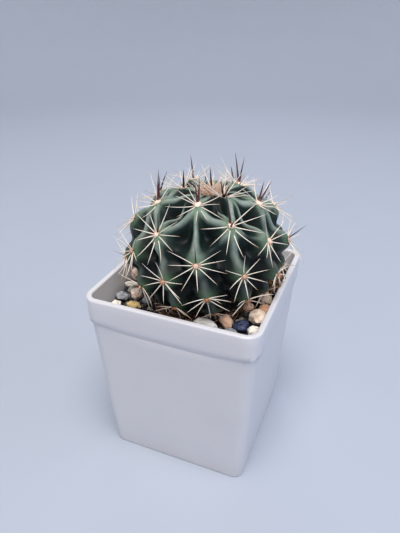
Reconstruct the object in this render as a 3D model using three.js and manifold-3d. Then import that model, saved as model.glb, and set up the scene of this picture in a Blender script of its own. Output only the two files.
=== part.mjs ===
// A young turks head cactus in a square tapered plastic pot, standing in gritty soil dressed with
// loose stones. Millimetres, +Z up. The origin is the centre of the pot's foot and the front is -Y.

import * as THREE from 'three';
import { mergeVertices } from 'three/addons/utils/BufferGeometryUtils.js';
import Module from 'manifold-3d';

const wasm = await Module();
wasm.setup();

// Pot: outer widths are across the flats.
const potHeight = 84;
const rimWidth = 75;
const footWidth = 64.5;
const bandHeight = 12.2;
const bandProud = 0.8;
const bandTaper = 0.3;
const wallThickness = 2.5;
const floorThickness = 2;
const rimCorner = 6.6;
const footCorner = 4.4;
const edgeRound = 0.8;
const cornerSteps = 5;
const drainRadius = 3;
const drainOffset = 14;

// Soil: its surface is measured down from the rim, and rises towards the back.
const clearance = 0.3;
const soilDepth = 10.8;
const soilRise = 0.06;
const gritHeight = 0.35;
const soilRings = 7;

// Plant: a flattened globe that leans a little. Its size is measured at the tips of the tubercles.
const plantRadius = 34.3;
const plantAbove = 26.6;
const plantBelow = 25.6;
const plantX = 3.7;
const plantY = -2;
const plantWaist = potHeight + 15.2;
const leanX = 0.048;
const leanY = 0.034;
const neckRadius = 13.5;
const neckRise = 2.3;
const neckDepth = 8.6;

// Ribs: the areoles follow one spiral, a fixed turn apart, which lines them up in 13 ribs.
const ribCount = 13;
const areoleTurn = 222.18;
const firstAzimuth = 27.8;
const crownIndex = 3.05;
const lastIndex = 51;
const spiralScale = 9.05;
const spiralPower = 0.709;
const ribDepth = 7.2;
const notchDepth = 2.8;
const ribSharpness = 0.96;
const rowSharpness = 0.9;
const youngSharpness = 0.5;
const sharpStart = 6;
const sharpEnd = 18;
const triangleShare = 2.1;
const rhombusShare = 1.4;
const rowShare = 0.7;
const oldRowShare = 0.3;
const pitSoftness = 0.02;
const rowFloor = 0.15;
const crownDip = 3.8;
const dipWidth = 2.4;
const footDepth = -0.6;
const footRounding = 0.85;
const lineStart = 4;
const lineEnd = 9;
const ribStart = 10;
const ribEnd = 20;
const reliefStart = 2.55;
const grownIndex = 15;
const youngNotch = 1.9;
const notchRise = 5;
const notchStart = 9;
const notchEnd = 16;
const ribbedIndex = 28;
const footIndex = 38;
const columnsPerRib = 6;
const stemRings = 20;
const ringSpread = 1.25;

// Areoles that grew a little off the spiral: which one, degrees round the plant, degrees down it. Each
// draws the skin with it, over so many turns of the spiral.
const strayReach = 5;
const strays = [
  [8, -2.2, -1.6],
  [9, -1.5, -2.5],
  [11, -6, -1.3],
  [13, 4, -1.9],
  [16, -3.6, 0.7],
  [18, 1.3, 1.8],
  [21, 0.4, 2.7],
  [29, 2.4, -0.8],
  [42, -2, 3],
];

// Spines: a star of pale radial spines, and one dark central spine on the younger areoles.
const radialSpines = 8;
const radialLength = 10.4;
const oldLength = 7.2;
const centralLength = 11.5;
const spineWidth = 0.7;
const centralWidth = 0.9;
const starGap = 84;
const youngIndex = 14;
const centralIndex = 27;
const oldIndex = 33;
const rootDepth = 1.6;
const rootSpread = 0.9;
const oldRise = 17;
const youngRise = 52;
const leastCentralRise = 48;
const mostCentralRise = 80;

// Room that the spines leave for the stones, and beside and over the pot's wall.
const stoneRoom = 6.5;
const wallRoom = 2.5;
const rimRoom = 1.5;

// Stones that lie in view: x, y, length, width, height, turn, colour.
const placedStones = [
  [-31.6, -1, 5.8, 5, 6, 20, 'peach'],
  [-31, -8, 5.6, 2.2, 3, 10, 'white'],
  [-24.6, -14.2, 5.6, 5, 4.4, 60, 'peach'],
  [-30.4, -17.2, 5.4, 4, 3.2, 15, 'grey'],
  [-30, -23.4, 4.4, 3.6, 3, 70, 'white'],
  [-22.4, -21.4, 6, 4, 3.2, 5, 'yellow'],
  [-18.2, -16.4, 5, 4.2, 3.4, 40, 'grey'],
  [12.2, -25, 8.6, 4.4, 5.4, 2, 'white'],
  [18.8, -18.6, 7, 4.4, 4.4, -38, 'orange'],
  [22.4, -24.4, 5.6, 4, 3.4, 10, 'grey'],
  [25.6, -19.4, 5.6, 4.6, 4.4, 30, 'slate'],
  [31, -20.6, 4.6, 4, 4, 65, 'white'],
  [30.6, -12.6, 6.8, 6.2, 5.6, 25, 'peach'],
  [24.6, -6.4, 4.6, 4.4, 3.8, 50, 'orange'],
  [31.4, -6, 4, 4, 3.8, 0, 'orange'],
  [29.6, 0.6, 6.2, 5.8, 5.8, 35, 'peach'],
  [25.6, -31.6, 5, 4, 3.4, 20, 'slate'],
  [-24.2, -28.2, 5, 4.2, 3.2, 35, 'slate'],
  [3.4, -25.6, 4.2, 3.4, 2.8, 15, 'slate'],
];

// More stones lie behind the plant.
const scatteredStones = 24;
const stoneColours = ['peach', 'grey', 'white', 'slate', 'orange', 'slate', 'grey', 'yellow'];
const stoneRoughness = 0.13;
const stoneRadius = 0.59;
const stoneGap = 0.9;
const stoneTries = 4000;
const hiddenFrom = -8;
const footReach = 19.4;

const looks = {
  pot: { color: 0xdcdde4, roughness: 0.38 },
  soil: { color: 0x241f1e, roughness: 0.95 },
  plant: { color: 0x2e4f46, roughness: 0.6 },
  peach: { color: 0xdcae95, roughness: 0.8 },
  orange: { color: 0xc98a66, roughness: 0.8 },
  yellow: { color: 0xc9a262, roughness: 0.8 },
  white: { color: 0xd5cfc6, roughness: 0.8 },
  grey: { color: 0x8f9195, roughness: 0.8 },
  slate: { color: 0x2d3550, roughness: 0.7 },
};

const radians = THREE.MathUtils.degToRad;
const mix = THREE.MathUtils.lerp;
const smooth = THREE.MathUtils.smoothstep;

// A repeatable random number generator, so each build gives the same part.
function seededRandom(seed) {
  let state = seed;
  return () => {
    state = (state * 16807) % 2147483647;
    return state / 2147483647;
  };
}

// Closed meshes in and out of the solid library.
function mergedGeometry(geometry) {
  const bare = geometry.clone();
  bare.deleteAttribute('normal');
  bare.deleteAttribute('uv');
  return mergeVertices(bare, 1e-4);
}

function signedVolume(geometry) {
  const position = geometry.getAttribute('position');
  const index = geometry.getIndex();
  const corner = [new THREE.Vector3(), new THREE.Vector3(), new THREE.Vector3()];
  let volume = 0;
  for (let face = 0; face < index.count; face += 3) {
    corner.forEach((point, side) => point.fromBufferAttribute(position, index.getX(face + side)));
    volume += corner[0].dot(corner[1].cross(corner[2])) / 6;
  }
  return volume;
}

function toSolid(geometry) {
  const merged = mergedGeometry(geometry);
  const triVerts = Uint32Array.from(merged.getIndex().array);
  if (signedVolume(merged) < 0) {
    triVerts.reverse();
  }
  const vertProperties = Float32Array.from(merged.getAttribute('position').array);
  return new wasm.Manifold(new wasm.Mesh({ numProp: 3, vertProperties, triVerts }));
}

function toGeometry(solid) {
  const mesh = solid.getMesh();
  const geometry = new THREE.BufferGeometry();
  geometry.setAttribute('position', new THREE.BufferAttribute(mesh.vertProperties, 3));
  geometry.setIndex(new THREE.BufferAttribute(mesh.triVerts, 1));
  geometry.computeVertexNormals();
  return geometry;
}

function pieceOf(name, solid, look) {
  const mesh = new THREE.Mesh(toGeometry(solid), new THREE.MeshStandardMaterial({ ...look, metalness: 0 }));
  mesh.name = name;
  return mesh;
}

// A lathe whose rings are then moved to where place(ring, step) puts them.
function reshapedLathe(ringTotal, stepTotal, place) {
  const profile = [];
  for (let ring = 0; ring < ringTotal; ring += 1) {
    profile.push(new THREE.Vector2(1, ring));
  }
  const geometry = new THREE.LatheGeometry(profile, stepTotal);
  const position = geometry.getAttribute('position');
  for (let step = 0; step < stepTotal; step += 1) {
    for (let ring = 0; ring < ringTotal; ring += 1) {
      const point = place(ring, step);
      position.setXYZ(step * ringTotal + ring, point.x, point.y, point.z);
      if (step === 0) {
        position.setXYZ(stepTotal * ringTotal + ring, point.x, point.y, point.z);
      }
    }
  }
  return geometry;
}

// Rounded squares
const squareSteps = 4 * (cornerSteps + 1);

function roundedSquarePoint(step, half, corner) {
  const quarter = Math.floor(step / (cornerSteps + 1));
  const within = step % (cornerSteps + 1);
  const turn = radians(90 * quarter + (90 * within) / cornerSteps);
  const diagonal = radians(90 * quarter + 45);
  const reach = (half - corner) * Math.SQRT2;
  return new THREE.Vector2(
    reach * Math.cos(diagonal) + corner * Math.cos(turn),
    reach * Math.sin(diagonal) + corner * Math.sin(turn),
  );
}

// Half the pot's outer width, and its corner radius, at a height below the band.
function bodyHalf(height) {
  const bandFoot = rimWidth / 2 - bandTaper - bandProud;
  return mix(footWidth / 2, bandFoot, height / (potHeight - bandHeight));
}

function cornerAt(height) {
  return mix(footCorner, rimCorner, height / potHeight);
}

// Half the width between the inner faces of the walls.
function innerHalf(height) {
  const innerFoot = footWidth / 2 - wallThickness;
  return mix(innerFoot, rimWidth / 2 - wallThickness, height / potHeight);
}

// The pot is one shell: foot, tapered wall, proud band, rounded rim, inner wall and floor.
function makePot() {
  const bandFoot = potHeight - bandHeight;
  const rimHalf = rimWidth / 2;
  const rimInner = innerHalf(potHeight);
  const rings = [
    [0, 0, 0],
    [footWidth / 2 - edgeRound, 0, footCorner - edgeRound],
    [bodyHalf(edgeRound), edgeRound, footCorner],
    [bodyHalf(bandFoot - bandProud), bandFoot - bandProud, cornerAt(bandFoot)],
    [rimHalf - bandTaper, bandFoot, cornerAt(bandFoot)],
    [rimHalf, potHeight - edgeRound, rimCorner],
    [rimHalf - edgeRound * 0.3, potHeight - edgeRound * 0.3, rimCorner],
    [rimHalf - edgeRound, potHeight, rimCorner - edgeRound],
    [rimInner + edgeRound, potHeight, rimCorner - wallThickness + edgeRound],
    [rimInner, potHeight - edgeRound, rimCorner - wallThickness],
    [innerHalf(floorThickness), floorThickness, footCorner - wallThickness],
    [0, floorThickness, 0],
  ];
  const shell = reshapedLathe(rings.length, squareSteps, (ring, step) => {
    const [half, height, corner] = rings[ring];
    const flat = roundedSquarePoint(step, half, corner);
    return new THREE.Vector3(flat.x, flat.y, height);
  });
  let solid = toSolid(shell);
  const drain = new THREE.CylinderGeometry(drainRadius, drainRadius, 4 * floorThickness, 12);
  drain.rotateX(Math.PI / 2);
  for (const sideX of [-1, 1]) {
    for (const sideY of [-1, 1]) {
      const hole = drain.clone().translate(sideX * drainOffset, sideY * drainOffset, 0);
      solid = solid.subtract(toSolid(hole));
    }
  }
  return pieceOf('pot', solid, looks.pot);
}

// The plant's axis, which leans, at a height above the foot.
function axisAt(height) {
  const above = height - plantWaist;
  return new THREE.Vector2(plantX + leanX * above, plantY + leanY * above);
}

// The soil's surface, before its grit.
function soilLevel(y) {
  return potHeight - soilDepth + soilRise * y;
}

// The soil is a block that fills the pot, with a plain hole for the plant's neck.
function makeSoil() {
  const random = seededRandom(5);
  const foot = floorThickness + clearance;
  const holeTop = soilLevel(plantY);
  const holeRadius = (neckRadius + clearance) / Math.cos(Math.PI / squareSteps);
  const holeFloor = holeTop - neckDepth - clearance;
  const firstTop = 2;
  const lastTop = firstTop + soilRings;
  const ringTotal = lastTop + 3;
  const soil = reshapedLathe(ringTotal, squareSteps, (ring, step) => {
    const centre = axisAt(ring <= lastTop ? holeTop : holeFloor);
    const turn = ((step + 0.5) * 2 * Math.PI) / squareSteps;
    const rim = new THREE.Vector2(Math.cos(turn), Math.sin(turn)).multiplyScalar(holeRadius).add(centre);
    if (ring === 0) {
      return new THREE.Vector3(0, 0, foot);
    }
    if (ring === 1) {
      const flat = roundedSquarePoint(step, innerHalf(foot) - clearance, footCorner - wallThickness);
      return new THREE.Vector3(flat.x, flat.y, foot);
    }
    if (ring > lastTop) {
      const inward = ring === lastTop + 1 ? rim : centre;
      return new THREE.Vector3(inward.x, inward.y, holeFloor);
    }
    const half = innerHalf(potHeight - soilDepth - 3) - clearance;
    const edge = roundedSquarePoint(step, half, rimCorner - wallThickness);
    const flat = edge.lerp(rim, (ring - firstTop) / soilRings);
    const grit = (random() - 0.5) * 2 * gritHeight;
    return new THREE.Vector3(flat.x, flat.y, soilLevel(flat.y) + grit);
  });
  return pieceOf('potting_soil', toSolid(soil), looks.soil);
}

// The spiral: how far down from the crown an areole sits, as an angle, and back again.
function spiralAngle(index) {
  return spiralScale * Math.max(index - crownIndex, 0) ** spiralPower;
}

const ribDrift = ribCount * areoleTurn - 8 * 360;

// Azimuth of a point of the skin, by how many ribs round it is and its place on the spiral.
function skinAzimuth(rib, index) {
  return firstAzimuth + (rib * 360 + ribDrift * index) / ribCount;
}

// A row of rounded creases: 0 on each ridge and 1 half way between two.
function valleyWave(turns, sharpness) {
  return 0.5 - Math.asin(sharpness * Math.cos(2 * Math.PI * turns)) / (2 * Math.asin(sharpness));
}

// The valleys between tubercles, 0 on the ridges and 1 in the pits. The areoles are where three families
// of ridges meet: 13 ribs, and the rows of 5 and 8 that cross them. Rows alone mark the crown, then ribs
// and rows together, and further down the rows fade into the ribs.
function skinValley(rib, index) {
  const sharpness = mix(youngSharpness, rowSharpness, smooth(index, sharpStart, sharpEnd));
  const five = valleyWave((index + 8 * rib) / ribCount, sharpness);
  const eight = valleyWave((index - 5 * rib) / ribCount, sharpness);
  const line = valleyWave(rib, ribSharpness);
  const rowSquares = five ** 2 + eight ** 2;
  const rhombus = ((five * eight) / Math.sqrt(rowSquares + pitSoftness)) * rhombusShare;
  const edges = Math.sqrt((five * eight) ** 2 + line ** 2 * rowSquares + pitSoftness / 10);
  const triangle = ((five * eight * line) / edges) * triangleShare;
  const crownward = mix(rhombus, triangle, smooth(index, lineStart, lineEnd));
  const rows = mix(rowShare, oldRowShare, smooth(index, youngIndex, ribbedIndex));
  const ribbed = line * mix(1, THREE.MathUtils.clamp(rhombus + rowFloor, 0, 1), rows);
  return mix(crownward, ribbed, smooth(index, ribStart, ribEnd));
}

// How far the skin lies below the tips of the tubercles. The notches between them are deepest just below
// the crown.
function skinDepth(rib, index) {
  const five = Math.cos((2 * Math.PI * (index + 8 * rib)) / ribCount);
  const eight = Math.cos((2 * Math.PI * (index - 5 * rib)) / ribCount);
  const between = (1 - (five + eight) / 2) / 2;
  const early = mix(youngNotch, 1, smooth(index, notchStart, notchEnd));
  const notch = notchDepth * between ** 2 * early * smooth(index, notchRise, notchStart);
  const grown = smooth(index, reliefStart, grownIndex);
  const relief = grown * ribDepth * skinValley(rib, index) + notch;
  const dip = crownDip * Math.exp(-(((index - crownIndex) / dipWidth) ** 2));
  return mix(relief, footDepth, smooth(index, footIndex, lastIndex) * footRounding) + dip;
}

// How far the stray areoles draw the skin round them, round the plant and down it.
function strayPull(rib, index) {
  const pull = { round: 0, down: 0 };
  for (const [stray, round, down] of strays) {
    const apart = 1 - Math.cos((2 * Math.PI * (rib - ((8 * stray) % ribCount))) / ribCount);
    const near = Math.exp(-ribCount * apart - ((index - stray) / strayReach) ** 2);
    pull.round += near * round;
    pull.down += near * down;
  }
  return pull;
}

// A point on the globe that the tubercles reach, and the way out from it.
function globePoint(angle, azimuth, depth) {
  const polar = radians(angle);
  const turn = radians(azimuth);
  const tall = angle < 90 ? plantAbove : plantBelow;
  const out = new THREE.Vector3(
    (Math.sin(polar) * Math.sin(turn)) / plantRadius,
    (-Math.sin(polar) * Math.cos(turn)) / plantRadius,
    Math.cos(polar) / tall,
  ).normalize();
  const height = plantWaist + tall * Math.cos(polar);
  const axis = axisAt(height);
  const point = new THREE.Vector3(
    axis.x + plantRadius * Math.sin(polar) * Math.sin(turn),
    axis.y - plantRadius * Math.sin(polar) * Math.cos(turn),
    height,
  );
  return { point: point.addScaledVector(out, -depth), out };
}

// A point of the skin, found by its rib and its place on the spiral.
function skinPoint(rib, index) {
  const { round, down } = strayPull(rib, index);
  return globePoint(spiralAngle(index) + down, skinAzimuth(rib, index) + round, skinDepth(rib, index));
}

// The stem: the crown's centre, the ribbed globe, and the neck that stands in the soil.
function makeStem() {
  const steps = ribCount * columnsPerRib;
  const neckTop = soilLevel(plantY) + neckRise;
  const neckFoot = soilLevel(plantY) - neckDepth;
  return reshapedLathe(stemRings + 4, steps, (ring, step) => {
    const rib = step / columnsPerRib;
    if (ring > stemRings) {
      const height = ring === stemRings + 1 ? neckTop : neckFoot;
      const radius = ring === stemRings + 3 ? 0 : neckRadius;
      const turn = radians(skinAzimuth(rib, lastIndex));
      const axis = axisAt(height);
      return new THREE.Vector3(axis.x + radius * Math.sin(turn), axis.y - radius * Math.cos(turn), height);
    }
    if (ring === 0) {
      return globePoint(0, 0, skinDepth(0, crownIndex)).point;
    }
    return skinPoint(rib, mix(crownIndex, lastIndex, (ring / stemRings) ** ringSpread)).point;
  });
}

// Where a spine would cross the soil, the stones or the pot's wall, its tip is bent up clear.
function bentClear(tip) {
  const reach = Math.max(Math.abs(tip.x), Math.abs(tip.y));
  const inside = reach < innerHalf(potHeight) - wallRoom;
  const lowest = inside ? soilLevel(tip.y) + stoneRoom : potHeight + rimRoom;
  return new THREE.Vector3(tip.x, tip.y, Math.max(tip.z, lowest));
}

function makeSpine(root, tip, width) {
  const along = tip.clone().sub(root);
  const length = along.length();
  const cone = new THREE.ConeGeometry(width / 2, length, 3, 1);
  cone.translate(0, length / 2, 0);
  const turn = new THREE.Quaternion().setFromUnitVectors(new THREE.Vector3(0, 1, 0), along.normalize());
  cone.applyQuaternion(turn);
  cone.translate(root.x, root.y, root.z);
  return toSolid(cone);
}

// The spines of one areole.
function makeAreole(index, random) {
  const { point, out } = skinPoint((8 * index) % ribCount, index);
  const side = new THREE.Vector3(0, 0, 1).cross(out).normalize();
  const up = out.clone().cross(side).normalize();
  const youth = Math.max(0, 1 - (index - crownIndex) / youngIndex);
  const age = THREE.MathUtils.clamp((index - oldIndex) / (lastIndex - oldIndex), 0, 1);
  const rise = radians(mix(oldRise, youngRise, youth));
  const length = mix(radialLength, oldLength, age);
  const solids = [];
  for (let spine = 0; spine < radialSpines; spine += 1) {
    const share = (spine + 0.5 + 0.5 * (random() - 0.5)) / radialSpines;
    const turn = radians(90 + starGap / 2 + share * (360 - starGap));
    const flat = side.clone().multiplyScalar(Math.cos(turn)).addScaledVector(up, Math.sin(turn));
    const way = flat.clone().multiplyScalar(Math.cos(rise)).addScaledVector(out, Math.sin(rise));
    const root = point.clone().addScaledVector(flat, rootSpread).addScaledVector(out, -rootDepth);
    const tip = point.clone().addScaledVector(way, length * (0.85 + 0.3 * random()));
    solids.push(makeSpine(root, bentClear(tip), spineWidth));
  }
  if (index < centralIndex) {
    const lift = radians(mix(leastCentralRise, mostCentralRise, random()));
    const way = up.clone().multiplyScalar(Math.cos(lift)).addScaledVector(out, Math.sin(lift));
    const root = point.clone().addScaledVector(out, -rootDepth);
    const tip = point.clone().addScaledVector(way, centralLength * (0.8 + 0.4 * random()));
    solids.push(makeSpine(root, bentClear(tip), centralWidth));
  }
  return solids;
}

function makeCactus() {
  const random = seededRandom(41);
  const solids = [toSolid(makeStem())];
  for (let index = Math.ceil(crownIndex); index < lastIndex; index += 1) {
    solids.push(...makeAreole(index, random));
  }
  return pieceOf('cactus', wasm.Manifold.union(solids), looks.plant);
}

// A stone: a rough lump, flattened, turned and laid to rest on the soil, no further out than the wall.
function makeStone([x, y, length, width, height, turn], random) {
  const lump = mergedGeometry(new THREE.DodecahedronGeometry(stoneRadius));
  const position = lump.getAttribute('position');
  const point = new THREE.Vector3();
  for (let vertex = 0; vertex < position.count; vertex += 1) {
    point.fromBufferAttribute(position, vertex).multiplyScalar(1 + stoneRoughness * (random() - 0.5) * 2);
    position.setXYZ(vertex, point.x, point.y, point.z);
  }
  lump.scale(length, width, height);
  lump.rotateZ(radians(turn));
  lump.computeBoundingBox();
  const { min, max } = lump.boundingBox;
  const seat = soilLevel(y) + gritHeight + clearance;
  const wall = innerHalf(seat) - clearance;
  const inX = THREE.MathUtils.clamp(x, -wall - min.x, wall - max.x);
  const inY = THREE.MathUtils.clamp(y, -wall - min.y, wall - max.y);
  lump.translate(inX, inY, seat - min.z);
  return toSolid(lump);
}

// Scattered stones keep clear of the wall, the plant's neck and each other.
function scatterStones() {
  const random = seededRandom(23);
  const stones = [...placedStones];
  const field = innerHalf(potHeight - soilDepth) - 1;
  let tries = 0;
  while (stones.length < placedStones.length + scatteredStones && tries < stoneTries) {
    tries += 1;
    const length = mix(3.6, 6, random());
    const stone = [
      (random() * 2 - 1) * (field - length / 2),
      (random() * 2 - 1) * (field - length / 2),
      length,
      length * mix(0.65, 0.9, random()),
      length * mix(0.5, 0.75, random()),
      random() * 180,
      stoneColours[stones.length % stoneColours.length],
    ];
    const neck = axisAt(soilLevel(plantY));
    const fromNeck = Math.hypot(stone[0] - neck.x, stone[1] - neck.y);
    const crowded = stones.some(
      (other) => Math.hypot(other[0] - stone[0], other[1] - stone[1]) < (other[2] + length) / 2 + stoneGap,
    );
    if (!crowded && stone[1] > hiddenFrom && fromNeck > footReach + length / 2) {
      stones.push(stone);
    }
  }
  return stones;
}

function makeStones() {
  const random = seededRandom(77);
  const counts = {};
  return scatterStones().map((stone) => {
    const colour = stone[6];
    counts[colour] = (counts[colour] ?? 0) + 1;
    const name = `stone_${colour}_${String(counts[colour]).padStart(2, '0')}`;
    return pieceOf(name, makeStone(stone, random), looks[colour]);
  });
}

const pottedCactus = new THREE.Group();
pottedCactus.add(makePot());
pottedCactus.add(makeSoil());
pottedCactus.add(makeCactus());
pottedCactus.add(...makeStones());

export default pottedCactus;
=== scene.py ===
import math
import random
from functools import partial

import bmesh
import bpy
from mathutils import Matrix, Vector, noise


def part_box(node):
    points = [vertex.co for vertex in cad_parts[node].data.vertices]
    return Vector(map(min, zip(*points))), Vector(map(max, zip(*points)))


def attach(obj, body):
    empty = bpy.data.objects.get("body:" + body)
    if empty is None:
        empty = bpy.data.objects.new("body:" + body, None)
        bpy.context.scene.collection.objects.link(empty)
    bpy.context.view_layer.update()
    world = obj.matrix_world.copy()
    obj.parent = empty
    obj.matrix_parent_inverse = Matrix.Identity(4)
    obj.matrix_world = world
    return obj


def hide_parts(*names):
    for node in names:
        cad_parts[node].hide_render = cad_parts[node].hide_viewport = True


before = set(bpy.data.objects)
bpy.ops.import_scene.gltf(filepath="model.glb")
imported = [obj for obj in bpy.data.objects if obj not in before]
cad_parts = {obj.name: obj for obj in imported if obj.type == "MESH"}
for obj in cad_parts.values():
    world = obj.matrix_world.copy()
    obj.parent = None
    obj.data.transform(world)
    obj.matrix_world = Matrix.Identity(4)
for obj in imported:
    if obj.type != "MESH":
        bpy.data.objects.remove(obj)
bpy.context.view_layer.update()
mm = 0.001
degree = math.pi / 180
print("frame loaded")


# Sums that work on plain numbers and on node sockets alike

class Value:
    # a node's output, so that sums on it can be written out
    def __init__(self, nodes, socket):
        self.nodes = nodes
        self.socket = socket

    def out(self, name):
        return Value(self.nodes, self.socket.node.outputs[name])


for sign, work in (("add", "ADD"), ("sub", "SUBTRACT"), ("mul", "MULTIPLY"), ("truediv", "DIVIDE")):
    setattr(Value, f"__{sign}__", lambda self, other, work=work: self.nodes.maths(work, self, other))
    setattr(Value, f"__r{sign}__", lambda self, other, work=work: self.nodes.maths(work, other, self))


def isVector(value):
    socket = getattr(value, "socket", None)
    return isinstance(value, (tuple, Vector)) or getattr(socket, "type", "") == "VECTOR"


class Nodes:
    def __init__(self, tree):
        self.tree = tree

    def add(self, kind, inputs=None, output=0, **settings):
        node = self.tree.nodes.new(kind)
        for name, setting in settings.items():
            setattr(node, name, setting)
        for key, value in (inputs or {}).items():
            if isinstance(value, Value):
                self.tree.links.new(value.socket, node.inputs[key])
            else:
                node.inputs[key].default_value = value
        return Value(self, node.outputs[output]) if node.outputs else node

    def maths(self, operation, *values):
        arrows = [value for value in values if isVector(value)]
        plain = [value for value in values if not isVector(value)]
        if arrows and plain and operation == "MULTIPLY":
            return self.add("ShaderNodeVectorMath", {0: arrows[0], 3: plain[0]}, operation="SCALE")
        kind = "ShaderNodeVectorMath" if arrows else "ShaderNodeMath"
        return self.add(kind, dict(enumerate(values)), operation=operation)

    def blend(self, share, first, second):
        # each tone is a socket or a plain colour
        first, second = (colour(tone) if isinstance(tone, tuple) else tone for tone in (first, second))
        return self.add("ShaderNodeMix", {0: share, 6: first, 7: second}, 2, data_type="RGBA")

    def coats(self, tone, *paints):
        # lays paints over a tone, each with its share
        for share, paint in paints:
            tone = self.blend(share, tone, paint)
        return tone

    def between(self, share, first, second):
        return self.add("ShaderNodeMix", {0: share, 4: first, 5: second}, 1, data_type="VECTOR")

    def ramp(self, share, stops):
        tone = self.add("ShaderNodeValToRGB", {0: share})
        elements = tone.socket.node.color_ramp.elements
        while len(elements) < len(stops):
            elements.new(1)
        for element, (position, paint) in zip(elements, stops):
            element.position = position
            element.color = colour(paint)
        return tone

    def point(self, x, y, z):
        return self.add("ShaderNodeCombineXYZ", {0: x, 1: y, 2: z})

    def parts(self, point):
        split = self.add("ShaderNodeSeparateXYZ", {0: point})
        return [split.out(name) for name in "XYZ"]

    def grain(self, place, size, detail=3, roughness=0.5):
        inputs = {"Vector": place, "Scale": 1 / size, "Detail": detail, "Roughness": roughness}
        return self.add("ShaderNodeTexNoise", inputs)

    def cells(self, place, size):
        return self.add("ShaderNodeTexVoronoi", {"Vector": place, "Scale": 1 / size})

    def drawn(self, seed, low=0.0, high=1.0):
        # a random vector, number or whole number, as its limits are
        kinds = {tuple: ("FLOAT_VECTOR", 0, 0), float: ("FLOAT", 2, 1), int: ("INT", 4, 2)}
        kind, first, output = kinds[type(low)]
        inputs = {first: low, first + 1: high, "Seed": seed}
        return self.add("FunctionNodeRandomValue", inputs, output, data_type=kind)


def worked(operation, plain, *values):
    for value in values:
        if isinstance(value, Value):
            return value.nodes.maths(operation, *values)
    return plain(*values)


sine = partial(worked, "SINE", math.sin)
cosine = partial(worked, "COSINE", math.cos)
arcSine = partial(worked, "ARCSINE", math.asin)
squareRoot = partial(worked, "SQRT", math.sqrt)
power = partial(worked, "POWER", math.pow)
exponential = partial(worked, "EXPONENT", math.exp)
larger = partial(worked, "MAXIMUM", max)
smaller = partial(worked, "MINIMUM", min)


def clamped(x):
    return smaller(larger(x, 0), 1)


def mixed(a, b, share):
    return a + (b - a) * share


def eased(x, low, high):
    share = clamped((x - low) / (high - low))
    return share * share * (3 - 2 * share)


def colour(paint):
    # linear light from a colour in steps of 0 to 255
    shares = [part / 255 for part in paint]
    return (*[s / 12.92 if s <= 0.04045 else ((s + 0.055) / 1.055) ** 2.4 for s in shares], 1)


def shaded(paint, share):
    return tuple(part * share for part in paint)


# Shared makers

def newMaterial(name):
    material = bpy.data.materials.new(name)
    material.use_nodes = True
    material.node_tree.nodes.clear()
    nodes = Nodes(material.node_tree)
    nodes.material = material
    return nodes, nodes.add("ShaderNodeTexCoord", output="Object") * 1000  # millimetres


def finishMaterial(nodes, tone, rough, relief=None, depth=0.1, specular=0.5, more=None):
    # depth is the relief's height in millimetres
    inputs = {"Base Color": tone, "Roughness": rough, "Specular IOR Level": specular, **(more or {})}
    if relief is not None:
        inputs["Normal"] = nodes.add("ShaderNodeBump", {"Height": relief, "Distance": depth * mm, "Strength": 1})
    shader = nodes.add("ShaderNodeBsdfPrincipled", inputs)
    nodes.add("ShaderNodeOutputMaterial", {"Surface": shader})
    return nodes.material


def attribute(nodes, name):
    return nodes.add("ShaderNodeAttribute", output="Fac", attribute_name=name)


def newTree(name, sizes):
    tree = bpy.data.node_groups.new(name, "GeometryNodeTree")
    tree.interface.new_socket("Geometry", in_out="INPUT", socket_type="NodeSocketGeometry")
    for label, size in sizes.items():
        kind = "NodeSocketInt" if isinstance(size, int) else "NodeSocketFloat"
        tree.interface.new_socket(label, in_out="INPUT", socket_type=kind)
    tree.interface.new_socket("Geometry", in_out="OUTPUT", socket_type="NodeSocketGeometry")
    nodes = Nodes(tree)
    start = nodes.add("NodeGroupInput")
    return nodes, start, {label: start.out(label) for label in sizes}


def endTree(nodes, geometry, material):
    real = nodes.add("GeometryNodeRealizeInstances", {"Geometry": geometry})
    dressed = nodes.add("GeometryNodeSetMaterial", {"Geometry": real, "Material": material})
    nodes.add("NodeGroupOutput", {0: dressed})
    return nodes


def addItem(name, content):
    item = bpy.data.objects.new(name, content)
    bpy.context.scene.collection.objects.link(item)
    return item


def builtMesh(item):
    # the mesh that an item's modifiers make
    return bpy.data.meshes.new_from_object(item.evaluated_get(bpy.context.evaluated_depsgraph_get()))


def grown(name, nodes, sizes, source=None):
    # runs a tree on the source mesh and keeps what it makes as a plain mesh
    item = addItem(name, source or bpy.data.meshes.new(name))
    modifier = item.modifiers.new("grow", "NODES")
    modifier.node_group = nodes.tree
    for socket in nodes.tree.interface.items_tree:
        if socket.in_out == "INPUT" and socket.name in sizes:
            modifier[socket.identifier] = sizes[socket.name]
    mesh = builtMesh(item)
    item.modifiers.remove(modifier)
    item.data = mesh
    mesh.name = name
    return item


def named(nodes, name, kind="FLOAT"):
    return nodes.add("GeometryNodeInputNamedAttribute", {"Name": name}, data_type=kind)


def stored(nodes, geometry, name, value, domain="POINT"):
    inputs = {"Geometry": geometry, "Name": name, "Value": value}
    return nodes.add("GeometryNodeStoreNamedAttribute", inputs, data_type="FLOAT", domain=domain)


def moved(nodes, geometry, place=None, offset=(0, 0, 0)):
    inputs = {"Geometry": geometry, "Offset": offset}
    if place is not None:
        inputs["Position"] = place
    return nodes.add("GeometryNodeSetPosition", inputs)


def smoothed(nodes, geometry):
    return nodes.add("GeometryNodeSetShadeSmooth", {"Geometry": geometry})


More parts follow.
